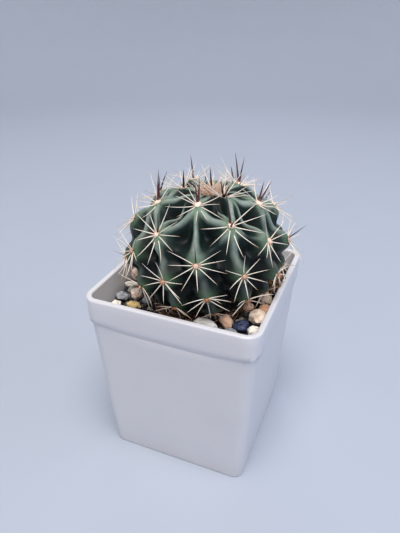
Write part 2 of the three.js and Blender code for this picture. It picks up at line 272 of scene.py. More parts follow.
def spread(nodes, points, forms, turn, size, seed, toneSeed):
    # one of the forms on each point, with a tone of its own
    choice = nodes.add("GeometryNodeJoinGeometry")
    for form in forms:
        form = nodes.add("GeometryNodeGeometryToInstance", {"Geometry": form})
        nodes.tree.links.new(form.socket, choice.socket.node.inputs[0])
    placed = nodes.add("GeometryNodeInstanceOnPoints", {
        "Points": points, "Instance": choice, "Pick Instance": True,
        "Instance Index": nodes.drawn(seed, 0, len(forms) - 1), "Rotation": turn, "Scale": size})
    return stored(nodes, placed, "tone", nodes.drawn(toneSeed), "INSTANCE")


def keepRows(mesh, rows, kind="FLOAT", field="value"):
    # stores a value for each point of a mesh
    for name, row in rows.items():
        mesh.attributes.new(name, kind, "POINT").data.foreach_set(field, row)


def pieceFrom(name, points, faces, material):
    # points in millimetres
    mesh = bpy.data.meshes.new(name)
    mesh.from_pydata([Vector(point) * mm for point in points], [], faces)
    mesh.materials.append(material)
    mesh.polygons.foreach_set("use_smooth", [True] * len(mesh.polygons))
    mesh.update()
    return addItem(name, mesh)


def tubeFaces(rings, steps):
    # the sides between rings of points, and a face over each end
    faces = []
    for near in range(0, (rings - 1) * steps, steps):
        for step in range(steps):
            following, far = (step + 1) % steps, near + steps
            faces.append((near + step, near + following, far + following, far + step))
    last = (rings - 1) * steps
    return faces + [tuple(range(steps))[::-1], tuple(range(last, last + steps))]


def finishPiece(item, slot, *nodes):
    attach(item, "root")
    if nodes:
        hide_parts(*nodes)
    print("made", item.name, len(item.data.polygons), "faces")


# Camera, floor and light

view = {
    "place": (68.547, -168.453, 189.367),
    "right": (0.92637, 0.37660, -0.00199),
    "down": (0.18329, -0.45546, -0.87119),
    "lens": 32.18, "sensor": 36, "nearest": 0.01,
}


def makeCamera():
    lens = bpy.data.cameras.new("camera")
    lens.lens = view["lens"]
    lens.sensor_width = view["sensor"]
    lens.clip_start = view["nearest"]
    item = addItem("camera", lens)
    right = Vector(view["right"]).normalized()
    back = right.cross(-Vector(view["down"])).normalized()
    turn = Matrix((right, back.cross(right), back)).transposed().to_4x4()
    item.matrix_world = Matrix.Translation(Vector(view["place"]) * mm) @ turn
    bpy.context.scene.camera = item


studio = {
    "floor": (172, 179, 192), "floorReach": 850, "coveRadius": 550, "coveHeight": 1500, "floorSteps": 72,
    "air": (214, 224, 242), "airStrength": 0.13,
    "lamps": [
        # name, place, aim, width, power, colour
        ("topLamp", (0.22, -0.52, 1.68), (0, 0, 0.08), 1.2, 36.0, (255, 251, 246)),
        ("sideLamp", (0.8, 0.1, 0.5), (0, 0, 0.05), 0.6, 1.6, (170, 203, 255)),
        ("backLamp", (-0.3, 0.8, 0.7), (0, 0, 0.09), 0.6, 1.2, (236, 243, 255)),
    ],
}


def makeFloor():
    nodes, place = newMaterial("pale floor")
    tone = nodes.blend(nodes.grain(place, 40, 4), studio["floor"], shaded(studio["floor"], 0.985))
    material = finishMaterial(nodes, tone, 0.75)
    reach, curve, steps = studio["floorReach"], studio["coveRadius"], studio["floorSteps"]
    bends = [(step * 9 - 90) * degree for step in range(11)]
    profile = [(reach + curve * math.cos(bend), curve + curve * math.sin(bend)) for bend in bends]
    profile.append((reach + curve, studio["coveHeight"]))
    turns = [step * math.tau / steps for step in range(steps)]
    points, faces = [(0, 0, 0)], []
    for far, height in profile:
        points.extend((far * math.cos(turn), far * math.sin(turn), height) for turn in turns)
    for step in range(steps):
        following = (step + 1) % steps
        faces.append((0, 1 + step, 1 + following))
        for ring in range(len(profile) - 1):
            near = 1 + ring * steps
            far = near + steps
            faces.append((near + step, far + step, far + following, near + following))
    pieceFrom("floor", points, faces, material)


def makeLight():
    for name, place, aim, width, strength, tint in studio["lamps"]:
        lamp = bpy.data.lights.new(name, "AREA")
        lamp.shape = "DISK"
        lamp.size = width
        lamp.energy = strength
        lamp.color = colour(tint)[:3]
        item = addItem(name, lamp)
        item.location = place
        item.rotation_mode = "QUATERNION"
        item.rotation_quaternion = (Vector(aim) - Vector(place)).to_track_quat("-Z", "Y")
    world = bpy.data.worlds.new("studio air")
    world.use_nodes = True
    air = world.node_tree.nodes["Background"]
    air.inputs["Color"].default_value = colour(studio["air"])
    air.inputs["Strength"].default_value = studio["airStrength"]
    bpy.context.scene.world = world
    bpy.context.scene.view_settings.view_transform = "Standard"


makeCamera()
makeFloor()
makeLight()
print("camera, floor and light")


# Pot

pot = {
    "height": 84, "rim": 75, "foot": 64.5, "band": 13.8, "proud": 0.8, "bandTaper": 0.3,
    "stepFrom": 13.5, "stepTo": 11.3, "cornerLift": 1.6, "stepEase": (17, 33),
    "groove": 0.3, "grooveWidth": 1.1, "grooveEnd": (15, 26),
    "wall": 2.5, "floor": 2, "floorRound": 2, "rimCorner": 6.6, "footCorner": 4.4, "floorCorner": 2.3,
    "edge": 0.8, "footCap": 26.25, "floorCap": 25.25, "capCorner": 1.2, "cornerSteps": 12, "flatSteps": 14,
    "drain": 3, "drainAt": 14, "drillDepth": 12, "sharpBelow": 0.6,
    "plastic": (213, 211, 214), "shade": (204, 202, 206), "dust": (178, 168, 156), "rough": 0.34,
    "soilDepth": 10.8, "soilRise": 0.06,
}


def innerHalf(height):
    return mixed(pot["foot"] / 2, pot["rim"] / 2, height / pot["height"]) - pot["wall"]


def outerHalf(height):
    bandFoot = pot["rim"] / 2 - pot["bandTaper"] - pot["proud"]
    return mixed(pot["foot"] / 2, bandFoot, height / (pot["height"] - pot["band"]))


def cornerAt(height):
    return mixed(pot["footCorner"], pot["rimCorner"], height / pot["height"])


def shapeBand(point, lift, pull):
    # the band's step is shorter at the corners, and the groove under it runs out before them
    fromMiddle = min(abs(point.x), abs(point.y))
    inward = pull * (1 - eased(fromMiddle, *pot["grooveEnd"]))
    point.z += lift * eased(fromMiddle, *pot["stepEase"])
    if abs(point.x) > abs(point.y):
        point.x -= math.copysign(inward, point.x)
    else:
        point.y -= math.copysign(inward, point.y)


def squareRing(half, corner, height):
    # a rounded square with points along its flats as well as its corners
    reach, steps, flats = half - corner, pot["cornerSteps"], pot["flatSteps"]
    ring = []
    for turn in (0, 90, 180, 270):
        centre = Vector((reach * math.sqrt(2), 0))
        centre.rotate(Matrix.Rotation((turn + 45) * degree, 2))
        for step in range(steps + 1):
            way = (turn + 90 * step / steps) * degree
            x, y = centre.x + corner * math.cos(way), centre.y + corner * math.sin(way)
            ring.append(Vector((x, y, height)))
    full = []
    for index, point in enumerate(ring):
        full.append(point)
        if index % (steps + 1) == steps:
            following = ring[(index + 1) % len(ring)]
            full.extend(point.lerp(following, part / (flats + 1)) for part in range(1, flats + 1))
    return full


def arc(steps, first, last):
    # cosine and sine at even steps between two angles
    turns = [mixed(first, last, step / steps) * degree for step in range(steps + 1)]
    return [(math.cos(turn), math.sin(turn)) for turn in turns]


def potProfile():
    # half width, height and corner of each ring, and at the band how far it is lifted and pulled in
    top, edge, wall, floor, curve = (pot[name] for name in ("height", "edge", "wall", "floor", "floorRound"))
    rimHalf, bandHalf = pot["rim"] / 2, pot["rim"] / 2 - pot["bandTaper"]
    bandFoot, stepFoot, stepTop = (top - pot[name] for name in ("band", "stepFrom", "stepTo"))
    footCorner, rimCorner, bandCorner = pot["footCorner"], pot["rimCorner"], cornerAt(bandFoot)
    profile = [(pot["footCap"], 0, pot["capCorner"])]
    profile += [(outerHalf(edge) - edge + edge * x, edge + edge * y, footCorner) for x, y in arc(5, -90, 0)]
    for share in (0.25, 0.5, 0.75, 0.95):
        height = mixed(edge, bandFoot - 1, share)
        profile.append((outerHalf(height), height, cornerAt(height)))
    for step in range(7):  # the shallow groove under the band
        height = stepFoot - (1 - step / 6) * pot["grooveWidth"]
        fall = 0.5 - 0.5 * math.cos(step / 6 * math.tau)
        profile.append((outerHalf(height), height, bandCorner, 0, pot["groove"] * fall))
    for share in (0.1, 0.25, 0.4, 0.55, 0.7, 0.85, 1):  # the band's lower edge
        fall = mixed(share, 0.5 - 0.5 * math.cos(share * math.pi), 0.4)
        profile.append((mixed(outerHalf(stepFoot), bandHalf, fall), mixed(stepFoot, stepTop, share),
                        bandCorner, pot["cornerLift"] * (1 - share), 0))
    for share in (0.36, 0.66):
        profile.append((mixed(bandHalf, rimHalf, share), mixed(bandFoot, top - edge, share), rimCorner))
    profile += [(rimHalf - edge + edge * x, top - edge + edge * y, rimCorner) for x, y in arc(5, 0, 90)]
    profile += [(innerHalf(top) + edge - edge * x, top - edge + edge * y, rimCorner - wall)
                for x, y in arc(5, 90, 0)]
    for share in (0.2, 0.4, 0.6, 0.8):
        height = mixed(top - edge, floor + curve, share)
        profile.append((innerHalf(height), height, cornerAt(height) - wall))
    profile += [(innerHalf(floor) - curve + curve * x, floor + curve - curve * y, pot["floorCorner"])
                for x, y in arc(3, 0, 90)]
    return profile + [(pot["floorCap"], floor, pot["capCorner"])]


def potPlastic():
    nodes, place = newMaterial("white moulded plastic")
    slow = nodes.grain(place, 22)
    scuffs = nodes.grain(nodes.maths("MULTIPLY", place, (0.5, 0.5, 2.5)), 3, 5, 0.7)
    worn = eased(scuffs, 0.62, 0.78) * 0.35
    specks = eased(nodes.grain(place, 1.1, 4, 0.7), 0.62, 0.74)
    low = (1 - eased(nodes.parts(place)[2], 0, 9)) * 0.22
    dusty = clamped(specks * 0.18 + low * nodes.grain(place, 4, 4))
    tone = nodes.coats(pot["shade"], (slow, pot["plastic"]), (worn, shaded(pot["shade"], 0.93)),
                       (dusty, pot["dust"]))
    rough = pot["rough"] + (slow - 0.5) * 0.12 + worn * 0.3 + dusty * 0.4
    relief = nodes.grain(place, 0.5, 2) * 0.12 + nodes.grain(place, 5) * 0.9
    glow = {"Subsurface Weight": 0.06, "Subsurface Radius": (0.002, 0.002, 0.0022)}
    return finishMaterial(nodes, tone, rough, relief, 0.09, 0.45, glow)


def drillDrains(item):
    cutters = []
    for sideX in (-1, 1):
        for sideY in (-1, 1):
            drill = bmesh.new()
            bmesh.ops.create_cone(drill, cap_ends=True, segments=32, radius1=pot["drain"] * mm,
                                  radius2=pot["drain"] * mm, depth=pot["drillDepth"] * mm)
            drill.transform(Matrix.Translation(Vector((sideX, sideY, 0)) * pot["drainAt"] * mm))
            mesh = bpy.data.meshes.new("drill")
            drill.to_mesh(mesh)
            drill.free()
            cutters.append(addItem("drill", mesh))
            cut = item.modifiers.new("drain", "BOOLEAN")
            cut.operation = "DIFFERENCE"
            cut.object = cutters[-1]
            cut.solver = "EXACT"
    item.data = builtMesh(item)
    item.modifiers.clear()
    for cutter in cutters:
        bpy.data.objects.remove(cutter)


def sharpenEdges(mesh):
    # smooth shading stops where two faces turn sharply
    facesOf = {}
    for polygon in mesh.polygons:
        for key in polygon.edge_keys:
            facesOf.setdefault(key, []).append(polygon)
    for edge in mesh.edges:
        sides = facesOf.get(edge.key, [])
        if len(sides) == 2 and sides[0].normal.dot(sides[1].normal) < pot["sharpBelow"]:
            edge.use_edge_sharp = True


def makePot():
    points, profile = [], potProfile()
    for half, height, corner, *shape in profile:
        ring = squareRing(half, corner, height)
        for point in ring if shape else ():
            shapeBand(point, *shape)
        points.extend(ring)
    item = pieceFrom("pot_shell", points, tubeFaces(len(profile), len(ring)), potPlastic())
    drillDrains(item)
    sharpenEdges(item.data)
    finishPiece(item, "pot_plastic", "pot")


makePot()


# The plant's skin follows one rule: the areoles lie on a spiral, a fixed turn apart, where the 13 ribs
# cross the rows of 5 and of 8.

plant = {
    "radius": 34.3, "above": 26.6, "below": 25.6, "x": 3.7, "y": -2.0, "waist": 99.2,
    "leanX": 0.048, "leanY": 0.034, "ribs": 13.0, "turn": 222.18, "firstAzimuth": 27.8,
    "crown": 3.05, "last": 51.0, "spiralScale": 9.05, "spiralPower": 0.709,
    "ribDepth": 7.2, "notchDepth": 2.8, "ribSharpness": 0.96, "rowSharpness": 0.9, "triangles": 2.1,
    "rhombi": 1.4, "rowFloor": 0.15,
    "youngRows": 0.7, "oldRows": 0.3, "pitSoftness": 0.02, "crownDip": 3.8, "dipWidth": 2.4,
    "footDepth": -0.6, "footRounding": 0.85, "lineStart": 4.0, "lineEnd": 9.0, "ribStart": 10.0,
    "ribEnd": 20.0, "reliefStart": 2.55, "grown": 15.0, "youngNotch": 1.9, "notchRise": 5.0,
    "notchStart": 9.0, "notchEnd": 16.0, "youngSharpness": 0.5, "sharpStart": 6.0, "sharpEnd": 18.0,
    "ribbed": 28.0, "rounding": 38.0, "young": 14.0,
}
# areoles that stand a little off the rule: areole, degrees round the plant, degrees down it; each draws
# the skin with it, over so many turns of the spiral
strays = ((16, -3.6, 0.7), (13, 4.0, -1.9), (21, 0.4, 2.7), (29, 2.4, -0.8), (18, 1.3, 1.8), (11, -6.0, -1.3),
          (8, -2.2, -1.6), (9, -1.5, -2.5), (42, -2.0, 3.0))
strayReach = 5
areoles = range(4, 51)  # those that carry spines
stem = {
    "columns": 312, "rings": 168, "neckRadius": 13.5, "neckTop": 75.4, "neckFoot": 64.5,
    "bumpHeight": 0.5, "bumpSize": 7.0,
}


def axisAt(height, p):
    above = height - p["waist"]
    return p["x"] + p["leanX"] * above, p["y"] + p["leanY"] * above


def spiralAngle(index, p):
    return p["spiralScale"] * power(larger(index - p["crown"], 0), p["spiralPower"])


def skinAzimuth(rib, index, p):
    drift = p["ribs"] * p["turn"] - 8 * 360
    return p["firstAzimuth"] + (rib * 360 + drift * index) / p["ribs"]


def strayPull(rib, index):
    # how far the strays draw the skin with them, round the plant and down it
    around, down, ribs = 0, 0, plant["ribs"]
    for stray, byTurn, byDrop in strays:
        apart = 1 - cosine((rib - 8 * stray % ribs) * (math.tau / ribs))
        beyond = (index - stray) / strayReach
        near = exponential(-ribs * apart - beyond * beyond)
        around, down = around + near * byTurn, down + near * byDrop
    return around, down


def wave(turns):
    return cosine(turns * math.tau)


def valleyWave(turns, sharpness):
    return 0.5 - arcSine(sharpness * wave(turns)) / (2 * arcSine(sharpness))


def crossings(rib, index, p):
    # how many rows of 5 and of 8 a point lies from the first of each
    return (index + 8 * rib) / p["ribs"], (index - 5 * rib) / p["ribs"]


def skinValley(rib, index, p):
    # 0 on the ridges and 1 in the valleys: rows at the crown, then rows and ribs, and ribs further down
    sharpness = mixed(p["youngSharpness"], p["rowSharpness"], eased(index, p["sharpStart"], p["sharpEnd"]))
    five, eight = (valleyWave(turns, sharpness) for turns in crossings(rib, index, p))
    line = valleyWave(rib, p["ribSharpness"])
    softness = p["pitSoftness"]
    rowSquares = five * five + eight * eight
    rhombus = five * eight / squareRoot(rowSquares + softness) * p["rhombi"]
    edges = squareRoot(five * five * eight * eight + line * line * rowSquares + softness / 10)
    triangle = five * eight * line / edges
    crownward = mixed(rhombus, triangle * p["triangles"], eased(index, p["lineStart"], p["lineEnd"]))
    rows = mixed(p["youngRows"], p["oldRows"], eased(index, p["young"], p["ribbed"]))
    ribbed = line * mixed(1, clamped(rhombus + p["rowFloor"]), rows)
    return mixed(crownward, ribbed, eased(index, p["ribStart"], p["ribEnd"]))


def skinDepth(rib, index, p):
    # how far the skin lies under the tips of the tubercles
    five, eight = crossings(rib, index, p)
    between = (1 - (wave(five) + wave(eight)) / 2) / 2
    notch = p["notchDepth"] * between * between * eased(index, p["notchRise"], p["notchStart"])
    notch = notch * mixed(p["youngNotch"], 1, eased(index, p["notchStart"], p["notchEnd"]))
    adult = eased(index, p["reliefStart"], p["grown"])
    fromCrown = (index - p["crown"]) / p["dipWidth"]
    dip = p["crownDip"] * exponential(-1 * fromCrown * fromCrown)
    relief = adult * p["ribDepth"] * skinValley(rib, index, p) + notch
    return mixed(relief, p["footDepth"], eased(index, p["rounding"], p["last"]) * p["footRounding"]) + dip


def globePoint(angle, azimuth, depth, p):
    # a point of the skin, and the way out from it
    polar, turn = angle * degree, azimuth * degree
    tall = mixed(p["above"], p["below"], clamped((angle - 90) * 1000))
    out = [sine(polar) * sine(turn) / p["radius"], -1 * sine(polar) * cosine(turn) / p["radius"],
           cosine(polar) / tall]
    length = squareRoot(out[0] * out[0] + out[1] * out[1] + out[2] * out[2])
    out = [part / length for part in out]
    height = p["waist"] + tall * cosine(polar)
    axisX, axisY = axisAt(height, p)
    point = [axisX + p["radius"] * sine(polar) * sine(turn) - out[0] * depth,
             axisY - p["radius"] * sine(polar) * cosine(turn) - out[1] * depth,
             height - out[2] * depth]
    return point, out


def soilLevel(y):
    return pot["height"] - pot["soilDepth"] + pot["soilRise"] * y


# painted light in these colours: the near-black one is painted shade for the valleys, the pale grey-green one a
# painted highlight for the ridge crests, the lime one a painted highlight for the tubercle tips, and the darker
# of the two flank colours painted shade for the lower body
skin = {
    "valleyShade": (4, 10, 11), "flank": (20, 38, 35), "lowFlankShade": (5, 13, 12), "crestHighlight": (146, 160, 150),
    "tipHighlight": (84, 116, 82), "bloom": (104, 126, 118), "cork": (92, 72, 52), "corkEdge": (74.5, 77.5),
    "rough": 0.52,
}


def cactusSkin():
    nodes, place = newMaterial("cactus skin")
    ridge, tip, age = (attribute(nodes, name) for name in ("ridge", "tip", "age"))
    broad = nodes.grain(place, 9, 4, 0.6)
    mottle = nodes.grain(place, 2.2, 5, 0.65)
    pores = nodes.cells(place, 0.42)
    # painted shade: the flanks darken from the shoulders down to the waist, and the crest highlight and bloom
    # thin out there
    lowerShade = eased(age, 0.24, 0.55)
    flank = nodes.blend(lowerShade, skin["flank"], skin["lowFlankShade"])
    # painted highlight along the ridge crests, weaker lower down
    crestHighlight = eased(ridge + (broad - 0.5) * 0.15, 0.7, 1.0) * mixed(1.15, 0.3, lowerShade)
    old = 1 - eased(nodes.parts(place)[2] + (mottle - 0.5) * 5, *skin["corkEdge"])
    tone = nodes.coats(
        # painted shade: the valleys keep this near-black colour where the ridge measure is low
        skin["valleyShade"],
        (eased(ridge + (broad - 0.5) * 0.5, 0.1, 0.9), flank),
        (clamped(crestHighlight * (0.35 + mottle * 0.75)), skin["crestHighlight"]),
        # painted highlight: a pale lime tint on the tubercle tips, where their tops face the light
        (power(clamped(tip), 1.4) * 0.8, skin["tipHighlight"]),
        (eased(mottle, 0.5, 0.8) * mixed(0.07, 0.025, lowerShade), skin["bloom"]),
        ((1 - eased(pores, 0.08, 0.2)) * mixed(0.12, 0.05, lowerShade), skin["bloom"]),
        (old * 0.85, skin["cork"]),
    )
    rough = skin["rough"] + (mottle - 0.5) * 0.25 + old * 0.3
    relief = mottle * 0.5 + pores * 0.18 + old * nodes.grain(place, 0.8, 4) * 1.2
    return finishMaterial(nodes, tone, rough, relief, 0.16, 0.2)


def makeStem():
    # the grid's rows are the globe first, then the neck's side and its foot
    neckFrom, neckBy, footFrom = 0.9, 0.95, 0.98
    sizes = {**plant, **stem}
    nodes, _, p = newTree("cactus stem", sizes)
    grid = nodes.add("GeometryNodeMeshGrid", {
        "Size X": 1, "Size Y": 1, "Vertices X": p["columns"], "Vertices Y": p["rings"]})
    across, along, _ = nodes.parts(nodes.add("GeometryNodeInputPosition"))
    rib = (across + 0.5) * p["ribs"]
    share = 0.5 - along
    index = mixed(p["crown"], p["last"], power(clamped(share / neckFrom), 1.25))
    nearCrown = clamped((index - p["crown"]) * 2)
    depth = mixed(skinDepth(0, index, p), skinDepth(rib, index, p), nearCrown)
    around, down = strayPull(rib, index)
    azimuth = skinAzimuth(rib, index, p) + around
    point, out = globePoint(spiralAngle(index, p) + down * nearCrown, azimuth, depth, p)
    relief = nodes.grain(nodes.point(*point), p["bumpSize"], 3, 0.45) - 0.5
    relief = relief * p["bumpHeight"] * 2 * nearCrown
    body = nodes.point(*point) + nodes.point(*out) * relief
    neckX, neckY = axisAt(p["neckTop"], p)
    turn = azimuth * degree
    under = 1 - eased(share, neckBy, footFrom) * 0.1
    ring = [neckX + p["neckRadius"] * under * sine(turn), neckY - p["neckRadius"] * under * cosine(turn)]
    body = nodes.between(eased(share, neckFrom, neckBy), body, nodes.point(*ring, p["neckTop"]))
    downNeck = clamped((share - neckBy) / (footFrom - neckBy))
    body = nodes.between(downNeck, body, nodes.point(*ring, p["neckFoot"]))
    underNeck = clamped((share - footFrom) / (1 - footFrom))
    body = nodes.between(underNeck, body, nodes.point(neckX, neckY, p["neckFoot"]))
    waves = [0.5 + 0.5 * wave(turns) for turns in (rib, *crossings(rib, index, p))]
    geometry = stored(nodes, grid, "age", index / p["last"])
    geometry = stored(nodes, geometry, "ridge", 1 - skinValley(rib, index, p))
    geometry = stored(nodes, geometry, "tip", waves[0] * waves[1] * waves[2])
    geometry = moved(nodes, geometry, body * mm)
    geometry = nodes.add("GeometryNodeMergeByDistance", {"Geometry": geometry, "Distance": 0.02 * mm})
    endTree(nodes, smoothed(nodes, geometry), cactusSkin())
    finishPiece(grown("cactus_stem", nodes, sizes), "plant", "cactus")


makeStem()


# Spines, each a slim curved cone that grows from its areole

spines = {
    "radials": 9, "length": 10.4, "youngLength": 11.6, "oldLength": 4.6, "stretch": 1.12, "width": 0.45,
    "lastRadials": 6, "lastFull": 37, "old": 33, "gap": 60, "rise": 16, "youngRise": 34, "sink": 0.5,
    "spread": 0.6, "uprightLength": 10.5, "uprightWidth": 1.1, "lastUpright": 24, "uprightSpread": 0.15,
    "crownSpines": 60, "crownLength": 7.5, "crownReach": 5.6, "soilRoom": 3, "wallRoom": 2, "rimRoom": 1,
    "pale": (244, 232, 216), "pink": (228, 186, 160), "brown": (164, 120, 92), "tipTone": (210, 176, 150),
    "maroon": (62, 20, 30), "maroonRoot": (126, 52, 50), "maroonTip": (140, 96, 82),
    # the stars in front: turn, rise and length of each spine
    "stars": {
        7: ((44, 38, 12.5), (68, 26, 12), (110, 40, 9), (150, 30, 9), (200, 20, 9), (236, 14, 9),
            (268, 20, 9), (300, 24, 10), (336, 30, 11), (12, 24, 11)),
        9: ((196, 18, 11), (284, 26, 9.5), (168, 30, 9), (136, 34, 9), (228, 24, 10), (256, 20, 9),
            (312, 24, 9), (344, 20, 10), (20, 26, 10)),
        8: ((20, 22, 10.5), (132, 14, 8), (164, 22, 8.5), (192, 30, 8), (216, 18, 11.5), (248, 14, 10.5),
            (284, 2, 9.5), (308, 6, 10.5), (332, 0, 12), (344, 22, 9.5)),
        11: ((92, 22, 12.5), (144, 54, 12), (204, 22, 10), (224, 18, 10), (250, 14, 9), (304, 30, 10),
             (320, 10, 11), (30, 24, 11)),
        13: ((4, 14, 12.5), (28, 18, 11.5), (188, 18, 12.5), (216, 8, 12), (244, 8, 12), (272, 4, 12),
             (300, 10, 12), (328, 14, 11.5)),
        15: ((84, 14, 9.5), (168, 50, 11), (208, 4, 11.5), (222, 12, 10), (270, 12, 9), (312, 22, 10),
             (20, 20, 11)),
        16: ((12, 6, 11), (40, 10, 10), (80, 14, 11), (132, 18, 8), (160, 18, 11), (192, 22, 8.5),
             (228, 22, 7), (264, 14, 10.5), (288, 4, 11), (316, 4, 11.5), (344, 4, 11)),
        18: ((28, 18, 9.5), (112, 30, 9.5), (192, 10, 10), (208, 18, 9), (226, 18, 11), (262, 14, 8),
             (332, 2, 9), (0, 16, 9)),
        21: ((16, 10, 10), (36, 14, 10), (152, 18, 10.5), (180, 14, 9), (212, 18, 10), (244, 18, 9.5),
             (280, 14, 8.5), (328, 26, 10), (352, 10, 10.5)),
        26: ((16, 22, 8.5), (52, 14, 8), (96, 18, 9), (148, 18, 10), (184, 34, 9.5), (232, 18, 9),
             (272, 16, 8), (308, 18, 6.5), (340, 18, 8)),
        29: ((20, 14, 10), (92, 18, 9.5), (128, 18, 9.5), (172, 10, 8), (200, 14, 7.5), (236, 8, 10),
             (280, 14, 7.5), (328, 10, 10), (352, 24, 10)),
        31: ((20, 14, 6), (60, 14, 5.5), (105, 18, 6), (150, 18, 6.5), (195, 14, 6), (240, 14, 6.5),
             (295, 14, 6), (340, 14, 5.5)),
        34: ((20, 20, 9), (44, 18, 9.5), (52, 40, 9.5), (156, 30, 10), (204, 22, 8), (240, 16, 8),
             (280, 8, 9), (340, 16, 8.5)),
    },
    # dark spines that stand up from the younger areoles
    "uprights": {
        5: ((208, 58, 11.5), (240, 54, 11.5)), 6: ((36, 50, 11),), 7: ((328, 46, 14.5), (4, 54, 13.5)),
        9: ((72, 54, 12),), 8: ((112, 46, 8.5), (96, 46, 10.5)), 10: ((32, 46, 9), (8, 46, 10.5)),
        11: ((120, 46, 12.5), (112, 46, 10.5)), 14: ((128, 34, 10),), 13: ((100, 42, 12.5), (236, 74, 7)),
        15: (), 16: ((68, 46, 10),), 18: (), 19: (), 21: ((92, 22, 9.5),),
    },
}


def areoleAt(index):
    rib = 8 * index % plant["ribs"]
    around, down = strayPull(rib, index)
    azimuth = plant["firstAzimuth"] + plant["turn"] * index + around
    point, out = globePoint(spiralAngle(index, plant) + down, azimuth, skinDepth(rib, index, plant), plant)
    point, out = Vector(point), Vector(out)
    side = Vector((0, 0, 1)).cross(out).normalized()
    return point, out, side, out.cross(side).normalized()


def clearOfPot(tip):
    # bends a tip up where it would meet the soil or the rim
    reach = max(abs(tip.x), abs(tip.y))
    inside = reach < innerHalf(pot["height"]) - spines["wallRoom"]
    lowest = soilLevel(tip.y) + spines["soilRoom"] if inside else pot["height"] + spines["rimRoom"]
    return Vector((tip.x, tip.y, max(tip.z, lowest)))


def crownCentre():
    return Vector(globePoint(0, 0, skinDepth(0, plant["crown"], plant), plant)[0])


def starOf(index, draw):
    # turn, rise and length of each radial spine of an areole
    if index in spines["stars"]:
        return spines["stars"][index]
    youth = max(0, 1 - (index - plant["crown"]) / plant["young"])
    age = clamped((index - spines["old"]) / (plant["last"] - spines["old"]))
    length = mixed(mixed(spines["length"], spines["oldLength"], age), spines["youngLength"], youth)
    rise = mixed(spines["rise"], spines["youngRise"], youth)
    star, count = [], spines["radials"] if index < spines["lastFull"] else spines["lastRadials"]
    for spine in range(count):
        share = (spine + 0.5 + 0.55 * (draw.random() - 0.5)) / count
        turn = 90 + spines["gap"] / 2 + share * (360 - spines["gap"])
        star.append((turn, rise + draw.uniform(-7, 7), length * draw.uniform(0.84, 1.12)))
    return star


def spineAt(index, turn, rise, length, width, spread):
    # root, tip, width, way the spine bends, age
    point, out, side, up = areoleAt(index)
    flat = side * math.cos(turn * degree) + up * math.sin(turn * degree)
    way = flat * math.cos(rise * degree) + out * math.sin(rise * degree)
    root = point + flat * spread - out * spines["sink"]
    return root, clearOfPot(point + way * length), width, out, index / plant["last"]


def radialPlan():
    draw = random.Random(7)
    plan = []
    for index in areoles:
        for turn, rise, length in starOf(index, draw):
            width = spines["width"] * draw.uniform(0.85, 1.15)
            plan.append(spineAt(index, turn, rise, length * spines["stretch"], width, spines["spread"]))
    centre = crownCentre()
    for spine in range(spines["crownSpines"]):
        turn, far = draw.uniform(0, math.tau), math.sqrt(draw.random())
        flat = Vector((math.cos(turn), math.sin(turn), 0)) * far
        way = (flat * 0.9 + Vector((draw.gauss(0, 0.3), draw.gauss(0, 0.3), 1))).normalized()
        root = centre + flat * spines["crownReach"] - Vector((0, 0, 0.5))
        tip = root + way * spines["crownLength"] * draw.uniform(0.6, 1.15)
        plan.append((root, tip, spines["width"] * 0.7, flat.normalized(), draw.uniform(0, 0.9)))
    return plan


def uprightPlan():
    draw = random.Random(11)
    plan = []
    for index in range(areoles[0], spines["lastUpright"]):
        turn, rise = draw.uniform(70, 110), draw.uniform(40, 66)
        ruled = ((turn, rise, spines["uprightLength"] * draw.uniform(0.75, 1.2)),)
        width = spines["uprightWidth"] * mixed(1, 0.6, clamped((index - 12) / 8))
        for upright in spines["uprights"].get(index, ruled):
            plan.append(spineAt(index, *upright, width, spines["uprightSpread"]))
    return plan


def guideMesh(name, plan):
    # one point for each spine, which carries the spine's way, bend, size and age
    mesh = bpy.data.meshes.new(name)
    mesh.from_pydata([root * mm for root, *rest in plan], [], [])
    rows = {"way": [], "bend": [], "size": []}
    for root, tip, width, bend, age in plan:
        along = tip - root
        rows["way"].extend(along.normalized())
        rows["bend"].extend(bend)
        rows["size"].extend((width * mm, width * mm, along.length * mm))
    keepRows(mesh, rows, "FLOAT_VECTOR", "vector")
    keepRows(mesh, {"age": [age for *rest, age in plan]})
    return mesh


def spineTree(name, material, sizes):
    # each guide point carries one spine, picked from a few bends
    nodes, start, p = newTree(name, sizes)
    forms = []
    for bend in (-0.5, 0.15, 0.6, 1.0):
        cone = nodes.add("GeometryNodeMeshCone", {
            "Vertices": p["Sides"], "Side Segments": p["Segments"], "Radius Top": 0.5, "Radius Bottom": 0.5,
            "Depth": 1.0})
        x, y, along = nodes.parts(nodes.add("GeometryNodeInputPosition"))
        slim = 0.07 + 0.93 * power(larger(1 - along, 0), p["Taper"])
        cone = stored(nodes, cone, "along", along)
        cone = stored(nodes, cone, "bow", p["Bow"] * bend * (along * along - along))
        forms.append(moved(nodes, cone, nodes.point(x * slim, y * slim, along)))
    way, bend, size = (named(nodes, label, "FLOAT_VECTOR") for label in ("way", "bend", "size"))
    turn = nodes.add("FunctionNodeAxesToRotation", {0: way, 1: bend}, primary_axis="Z", secondary_axis="X")
    placed = spread(nodes, start, forms, turn, size, p["Seed"], p["Seed"])
    real = nodes.add("GeometryNodeRealizeInstances", {"Geometry": placed})
    lean = bend * (named(nodes, "bow") * nodes.parts(size)[2])
    return endTree(nodes, smoothed(nodes, moved(nodes, real, offset=lean)), material)


def growSpines(name, material, form, plan):
    tree = spineTree(name, material, form)
    finishPiece(grown(name, tree, form, guideMesh(name, plan)), "plant", "cactus")


